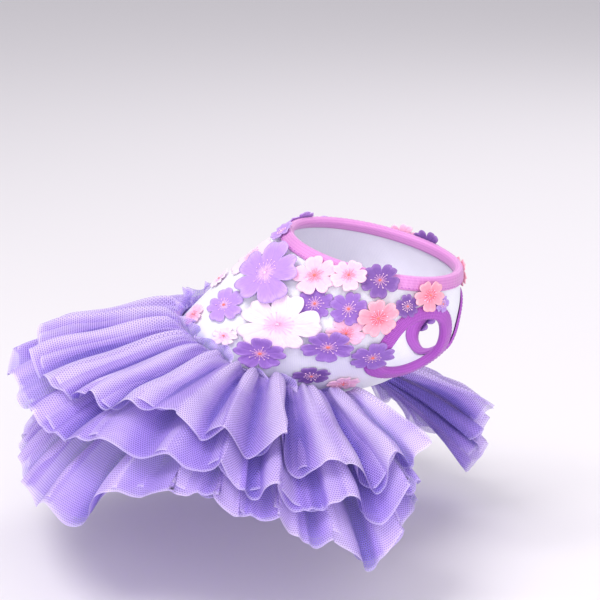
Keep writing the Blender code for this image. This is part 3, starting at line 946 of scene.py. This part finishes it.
def makeFrill():
    # The gathered edge of the net that stands up above the seam of the upper tier
    rows, columns = frill["rows"] + 1, frill["columns"] + 1
    out = np.linspace(0, 1, rows)[:, None]
    around = np.linspace(-skirt["end"] - 4, skirt["end"] + 4, columns)[None, :]
    place = (skirt["lowestSeam"] + 2 * skirt["seamSpacing"]) / bodyForm["backLength"]
    wander = np.sin(np.radians(around * 6.1) + 0.5) + 0.6 * np.sin(np.radians(around * 14.3) + 1.1)
    ruffle = np.sin(np.radians(around * 27) + 1.5 * wander)
    second = np.sin(np.radians(around * 63) + 2.1 * wander)
    crest = np.clip(0.5 + 0.42 * ruffle + 0.14 * second, 0, 1.1)
    tall = frill["height"] * (0.78 + 0.22 * np.sin(np.radians(around * 11) + wander))
    off = frill["foot"] + (frill["hug"] + (frill["flare"] - frill["hug"]) * crest - frill["foot"]) * np.sin(
        np.pi / 2 * np.minimum(out * 1.15, 1)
    )
    climb = tall * (out - 0.30 * crest * out**2 - 0.12 * crest * out**4)
    turn = around + 2.2 * out * np.sin(np.radians(around * 27) + 1.5 * wander + 1.2)
    perAlong, _ = metresPer(0.15, 60.0)
    points = offBody(place + climb / perAlong, turn, off)
    points = points + 0.0003 * second[..., None] * smoothStep(0, 1, out)[..., None]
    run = np.linalg.norm(np.diff(points[-1], axis=0), axis=1)
    run = np.concatenate([[0], np.cumsum(run)])
    faces, corners = gridFaces(rows, columns)
    rise = np.broadcast_to(tall * out, points.shape[:2])
    uvs = np.stack([run[corners[:, 1]], rise[corners[:, 0], corners[:, 1]]], axis=1)
    piece = makePiece("skirt_header_frill", points, faces, uvs, [upperTulle])
    # Painted shade: darker between the ruffles and near the seam at the foot of the frill
    depth = (1 - crest) * 0.8 - 0.1 + 0.5 * (1 - smoothStep(0.0, 0.5, out)) - 0.15 * second
    addValues(piece, "paintedFoldShade", np.broadcast_to(depth, points.shape[:2]))
    # painted highlight along the frill's top edge
    addValues(piece, "hemShare", np.broadcast_to(smoothStep(0.90, 1.0, out), points.shape[:2]))
    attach(piece, "root")


for tier in range(len(tiers)):
    for ply in (0, 1):
        makeTier(tier, ply)
makeFrill()
print("skirt made")


# Blossoms

blossomSizes = {
    "thickness": 0.0005,
    "layerStep": 0.0013,
    "clearance": 0.0006,
    "angleSteps": 26,     # steps across each petal
    "rings": 12,
    "seed": 11,
}
# Wearer's right side: along, around, width mm, turn, layer, lift mm, colour, twin on the left, stamens
blossoms = (
    (0.744, 49, 40, 10, 2, 1.5, "lilac", True, "pale"),
    (0.414, 44, 25, 40, 0, 0.3, "lilac", True, "coral"),
    (0.525, 77, 42, 0, 1, 0.6, "pale_pink", True, "pale"),
    (0.880, 75, 23, 20, 1, 0.6, "pink", True, "coral"),
    (0.740, 84, 20, 0, 0, 0.2, "purple", False, "coral"),
    (0.540, 104, 23, 50, 2, 1.2, "purple", True, "coral"),
    (0.290, 85, 25, 15, 2, 1.5, "purple", True, "coral"),
    (0.250, 115, 17, 30, 0, 0.3, "violet", True, "coral"),
    (0.960, 20, 15, 0, 1, 1.2, "lilac", True, "pale"),
    (0.720, 17, 30, 30, 0, 0.2, "pale_pink", False, "pale"),
    (0.950, 93, 18, 50, 2, 0.9, "pink", True, "coral"),
    (0.968, 111, 20, 30, 1, 0.3, "violet", True, "coral"),
    (0.782, 101, 19, 60, 1, 0.3, "purple", True, "coral"),
    (0.780, 117, 20, 10, 2, 1.5, "coral", True, "coral"),
    (0.650, 106, 20, 30, 0, 0.2, "pink", False, "coral"),
    (0.862, 131, 13, 0, 1, 0.3, "violet", True, "coral"),
    (0.925, 144, 17, 20, 2, 0.9, "coral", True, "coral"),
    (0.880, 156, 9, 40, 1, 0.2, "lilac", False, "coral"),
    (0.555, 126, 21, 70, 1, 0.3, "purple", True, "coral"),
    (0.240, 134, 15, 20, 0, 0.3, "pink", False, "coral"),
    (0.255, 62, 15, 10, 0, 0.3, "pale_pink", False, "coral"),
    (0.210, 30, 16, 45, 0, 0.6, "pink", True, "coral"),
    (0.450, 12, 14, 30, 0, 0.6, "pale_pink", False, "coral"),
)
petalOutline = (
    # share of a petal's turn, share of the radius
    (0.00, 0.56),
    (0.04, 0.70),
    (0.10, 0.84),
    (0.20, 0.96),
    (0.32, 1.00),
    (0.42, 0.985),
    (0.50, 0.925),
    (0.58, 0.975),
    (0.68, 1.00),
    (0.80, 0.95),
    (0.90, 0.83),
    (0.96, 0.69),
    (1.00, 0.56),
)


def onCloth(row, side, right, up, height):
    # From flat flower coordinates in metres to places on the bodice
    along, around = row[0], row[1]
    perAlong, perDegree = metresPer(along, around)
    return offBody(along + up / perAlong, side * (around + right / perDegree), height)


def flowerBase(row):
    return bodice["thickness"] + blossomSizes["clearance"] + 0.0004 + row[4] * blossomSizes["layerStep"]


def petalSkin(row, random):
    # One cut flower: radius and height of rings of points round its centre
    radius = row[2] / 2000
    lift = row[5] / 1000
    steps, rings = blossomSizes["angleSteps"] * 5, blossomSizes["rings"]
    turn = np.arange(steps) / steps * 5
    petal, share = np.floor(turn).astype(int), turn % 1
    sizes = 1 - random.uniform(0, 0.10, 5)
    leans = random.uniform(-0.25, 0.25, 5)
    curls = random.uniform(0.35, 1.0, 5)
    twists = random.uniform(-1, 1, 5)
    edge = between(petalOutline, share, 1)
    edge = edge * (1 - (1 - sizes[petal]) * np.sin(np.pi * share))
    edge = edge + 0.018 * np.sin(turn * 16.3 + row[3]) * np.sin(np.pi * share)
    grown = (np.arange(1, rings + 1) / rings)[:, None]
    across = (2 * share - 1)[None, :]
    angle = math.tau * turn / 5 + math.radians(row[3])
    outward = edge[None, :] * grown
    spine = np.cos(np.pi / 2 * across) ** 2
    cup = lift * 0.55 * grown**2 * curls[petal][None, :] * np.abs(across) ** 1.5
    tip = lift * smoothStep(0.35, 1.0, outward) * (0.5 + 0.7 * curls[petal][None, :] * spine)
    twist = lift * 0.35 * twists[petal][None, :] * across * grown**2
    crease = -0.00022 * np.exp(-(across / 0.10) ** 2) * smoothStep(0.1, 0.4, grown) * (1 - smoothStep(0.7, 1, grown))
    frill = 0.00022 * smoothStep(0.6, 1.0, grown) * np.sin(turn[None, :] * 13.7 + row[3] * 0.7)
    height = np.maximum(cup + tip + twist + crease + frill, -0.0001)
    reach = radius * outward * (1 + leans[petal][None, :] * 0.0)
    return reach * np.cos(angle)[None, :], reach * np.sin(angle)[None, :], height, turn, grown


def makeBlossom(number, row, side):
    sideName = "right" if side > 0 else "left"
    name = f"blossom_{sideName}_{number:02d}"
    random = np.random.default_rng(blossomSizes["seed"] * 100 + number)
    right, up, height, turn, grown = petalSkin(row, random)
    base = flowerBase(row)
    rings, steps = height.shape
    points = onCloth(row, side, right, up, base + height)
    middle = onCloth(row, side, 0.0, 0.0, base)
    faces, corners = gridFaces(rings, steps, wrap=True, flip=side < 0, first=1)
    faces = [face[::-1] for face in faces]
    uv = [((c[1]) / steps * 5, (c[0] + 1) / rings) for c in corners.reshape(-1, 4, 2)[:, ::-1].reshape(-1, 2)]
    for step in range(steps):
        after = (step + 1) % steps
        fan3 = (0, 1 + step, 1 + after)
        corner = [((step + 0.5) / steps * 5, 0.0), (step / steps * 5, 1 / rings), ((step + 1) / steps * 5, 1 / rings)]
        if side < 0:
            fan3, corner = fan3[::-1], corner[::-1]
        faces.append(fan3)
        uv.extend(corner)
    colour = {"pale_pink": "palePink"}.get(row[6], row[6])
    vertices = np.concatenate([middle.reshape(1, 3), points.reshape(-1, 3)])
    piece = makePiece(f"{name}_petals", vertices, faces, uv, [petalMaterials[colour]])
    thicken(piece, blossomSizes["thickness"])
    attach(piece, "root")
    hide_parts(name)
    return piece


def stamenTree():
    # A ring of thin threads with a small round tip each, of uneven length, round the origin
    tree = bpy.data.node_groups.new("stamen ring", "GeometryNodeTree")
    tree.interface.new_socket("Geometry", in_out="INPUT", socket_type="NodeSocketGeometry")
    for name, kind, value in (("Count", "NodeSocketInt", 14), ("Length", "NodeSocketFloat", 0.003),
                              ("Width", "NodeSocketFloat", 0.0002), ("Tip", "NodeSocketFloat", 0.0005),
                              ("Seed", "NodeSocketInt", 3)):
        socket = tree.interface.new_socket(name, in_out="INPUT", socket_type=kind)
        socket.default_value = value
    tree.interface.new_socket("Geometry", in_out="OUTPUT", socket_type="NodeSocketGeometry")
    given, result = tree.nodes.new("NodeGroupInput"), tree.nodes.new("NodeGroupOutput")
    links = tree.links
    ring = tree.nodes.new("GeometryNodeMeshCircle")
    ring.inputs["Radius"].default_value = 0.0004
    links.new(given.outputs["Count"], ring.inputs["Vertices"])
    stem = tree.nodes.new("GeometryNodeMeshCylinder")
    stem.inputs["Vertices"].default_value = 5
    stem.inputs["Radius"].default_value = 0.5
    stem.inputs["Depth"].default_value = 1.0
    stemSize = tree.nodes.new("ShaderNodeCombineXYZ")
    links.new(given.outputs["Width"], stemSize.inputs[0])
    links.new(given.outputs["Width"], stemSize.inputs[1])
    links.new(given.outputs["Length"], stemSize.inputs[2])
    half = tree.nodes.new("ShaderNodeMath")
    half.operation = "MULTIPLY"
    half.inputs[1].default_value = 0.5
    links.new(given.outputs["Length"], half.inputs[0])
    raiseStem = tree.nodes.new("ShaderNodeCombineXYZ")
    links.new(half.outputs[0], raiseStem.inputs[2])
    moveStem = tree.nodes.new("GeometryNodeTransform")
    links.new(stem.outputs["Mesh"], moveStem.inputs["Geometry"])
    links.new(stemSize.outputs[0], moveStem.inputs["Scale"])
    links.new(raiseStem.outputs[0], moveStem.inputs["Translation"])
    tip = tree.nodes.new("GeometryNodeMeshUVSphere")
    tip.inputs["Segments"].default_value = 7
    tip.inputs["Rings"].default_value = 5
    links.new(given.outputs["Tip"], tip.inputs["Radius"])
    raiseTip = tree.nodes.new("ShaderNodeCombineXYZ")
    links.new(given.outputs["Length"], raiseTip.inputs[2])
    moveTip = tree.nodes.new("GeometryNodeTransform")
    links.new(tip.outputs["Mesh"], moveTip.inputs["Geometry"])
    links.new(raiseTip.outputs[0], moveTip.inputs["Translation"])
    both = tree.nodes.new("GeometryNodeJoinGeometry")
    links.new(moveStem.outputs[0], both.inputs[0])
    links.new(moveTip.outputs[0], both.inputs[0])
    place = tree.nodes.new("GeometryNodeInputPosition")
    turned = tree.nodes.new("FunctionNodeAlignRotationToVector")
    turned.axis = "Z"
    links.new(place.outputs[0], turned.inputs["Vector"])
    uneven = tree.nodes.new("FunctionNodeRandomValue")
    uneven.data_type = "FLOAT"
    uneven.inputs[2].default_value = 0.62
    uneven.inputs[3].default_value = 1.12
    links.new(given.outputs["Seed"], uneven.inputs["Seed"])
    placed = tree.nodes.new("GeometryNodeInstanceOnPoints")
    links.new(ring.outputs["Mesh"], placed.inputs["Points"])
    links.new(both.outputs[0], placed.inputs["Instance"])
    links.new(turned.outputs[0], placed.inputs["Rotation"])
    links.new(uneven.outputs[1], placed.inputs["Scale"])
    real = tree.nodes.new("GeometryNodeRealizeInstances")
    finish = tree.nodes.new("GeometryNodeSetMaterial")
    finish.inputs["Material"].default_value = stamenMaterial
    links.new(placed.outputs[0], real.inputs[0])
    links.new(real.outputs[0], finish.inputs["Geometry"])
    links.new(finish.outputs[0], result.inputs[0])
    return tree


stamens = stamenTree()


def stamenRing(count, length, seed):
    source = bpy.data.objects.new("stamen source", bpy.data.meshes.new("stamen source"))
    bpy.context.scene.collection.objects.link(source)
    values = {"Count": count, "Length": length, "Width": 0.00020, "Tip": 0.00034, "Seed": seed}
    mesh = runTree(stamens, source, values, "stamen ring")
    points = np.zeros(len(mesh.vertices) * 3)
    mesh.vertices.foreach_get("co", points)
    faces = [tuple(face.vertices) for face in mesh.polygons]
    bpy.data.meshes.remove(mesh)
    return points.reshape(-1, 3), faces


def dome(radius, height, segments=16, rings=6):
    # A low round button over its own flat base, in flat flower coordinates
    points, faces = [(0.0, 0.0, height)], []
    for ring in range(1, rings + 1):
        angle = math.pi / 2 * ring / rings
        for step in range(segments):
            turn = math.tau * step / segments
            points.append((radius * math.sin(angle) * math.cos(turn), radius * math.sin(angle) * math.sin(turn),
                           height * math.cos(angle)))
    for step in range(segments):
        after = (step + 1) % segments
        faces.append((0, 1 + step, 1 + after))
        for ring in range(rings - 1):
            low, high = 1 + ring * segments, 1 + (ring + 1) * segments
            faces.append((low + step, high + step, high + after, low + after))
    faces.append(tuple(1 + (rings - 1) * segments + step for step in range(segments - 1, -1, -1)))
    return np.array(points), faces


def makeHearts(side):
    # The stamens and hearts of all blossoms of a side, as one mesh on their petals
    sideName = "right" if side > 0 else "left"
    parts = []
    for number, row in enumerate(blossoms, 1):
        if side < 0 and not row[7]:
            continue
        radius = row[2] / 2000
        top = flowerBase(row) + blossomSizes["thickness"] / 2
        threads, threadFaces = stamenRing(13 if row[2] < 30 else 19, radius * (0.36 if row[2] < 30 else 0.34), number)
        away = np.hypot(threads[:, 0], threads[:, 1])
        rise = top + 0.0003 + threads[:, 2] + row[5] / 1000 * 1.1 * smoothStep(0.3, 1.0, away / radius)
        points = onCloth(row, side, threads[:, 0], threads[:, 1], rise)
        if side < 0:
            threadFaces = [face[::-1] for face in threadFaces]
        uvs = np.zeros((sum(len(face) for face in threadFaces), 2))
        parts.append((points, threadFaces, uvs, 0))
        button, buttonFaces = dome(radius * (0.075 if row[2] < 30 else 0.045), 0.0007)
        points = onCloth(row, side, button[:, 0], button[:, 1], top + 0.0001 + button[:, 2])
        if side < 0:
            buttonFaces = [face[::-1] for face in buttonFaces]
        uvs = np.zeros((sum(len(face) for face in buttonFaces), 2))
        parts.append((points, buttonFaces, uvs, 0 if row[8] == "pale" else 1))
    points, faces, uvs, places = joinParts(parts)
    piece = makePiece(f"blossom_hearts_{sideName}", points, faces, uvs, [stamenMaterial, heartMaterial], places=places)
    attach(piece, "root")
    return piece


for number, row in enumerate(blossoms, 1):
    makeBlossom(number, row, 1)
    if row[7]:
        makeBlossom(number, row, -1)
makeHearts(1)
makeHearts(-1)
print("blossoms made")


# Stage, light and camera

stage = {
    "floorDrop": 0.018,
    "floorTone": tone(236, 232, 236),
    "worldTone": (0.96, 0.95, 1.0, 1.0),
    "worldStrength": 0.62,
}
viewpoint = {
    "turn": 20.0,
    "rise": 15.0,
    "distance": 1.2,
    "lens": 133.2,
    "aim": (0.003, -0.0007, -0.0407),
}


def makeStage():
    low = cadBox[0][2] - stage["floorDrop"]
    half = 6.0
    corners = [(-half, -half, low), (half, -half, low), (half, half, low), (-half, half, low)]
    material, shader = newMaterial("pale floor", 0.85)
    shader.inputs["Base Color"].default_value = stage["floorTone"]
    floor = makePiece("floor", corners, [(0, 1, 2, 3)], None, [material], smooth=False)
    world = bpy.context.scene.world or bpy.data.worlds.new("pale room")
    bpy.context.scene.world = world
    world.use_nodes = True
    background = world.node_tree.nodes["Background"]
    background.inputs["Color"].default_value = stage["worldTone"]
    background.inputs["Strength"].default_value = stage["worldStrength"]


def addLight(name, place, aim, size, power, colour):
    light = bpy.data.lights.new(name, "AREA")
    light.shape = "SQUARE"
    light.size = size
    light.energy = power
    light.color = colour
    made = bpy.data.objects.new(name, light)
    made.location = place
    made.rotation_euler = (Vector(place) - Vector(aim)).to_track_quat("Z", "Y").to_euler()
    bpy.context.scene.collection.objects.link(made)


def makeCamera():
    turn, rise = math.radians(viewpoint["turn"]), math.radians(viewpoint["rise"])
    back = Vector((math.sin(turn) * math.cos(rise), -math.cos(turn) * math.cos(rise), math.sin(rise)))
    camera = bpy.data.cameras.new("photo view")
    camera.lens = viewpoint["lens"]
    camera.sensor_width = 36
    made = bpy.data.objects.new("photo view", camera)
    made.location = Vector(viewpoint["aim"]) + back * viewpoint["distance"]
    made.rotation_euler = back.to_track_quat("Z", "Y").to_euler()
    bpy.context.scene.collection.objects.link(made)
    bpy.context.scene.camera = made


makeStage()
addLight("window", (-0.35, -0.8, 1.35), (0, 0, -0.05), 0.8, 17, (1.0, 0.99, 0.97))
addLight("front", (0.9, -1.5, 0.45), (0, 0, -0.05), 1.0, 13, (1.0, 0.99, 1.0))
addLight("back", (0.2, 1.2, 1.0), (0, 0, -0.05), 1.0, 6, (1.0, 1.0, 1.0))
makeCamera()
bpy.context.scene.view_settings.view_transform = "Standard"
print("stage ready")
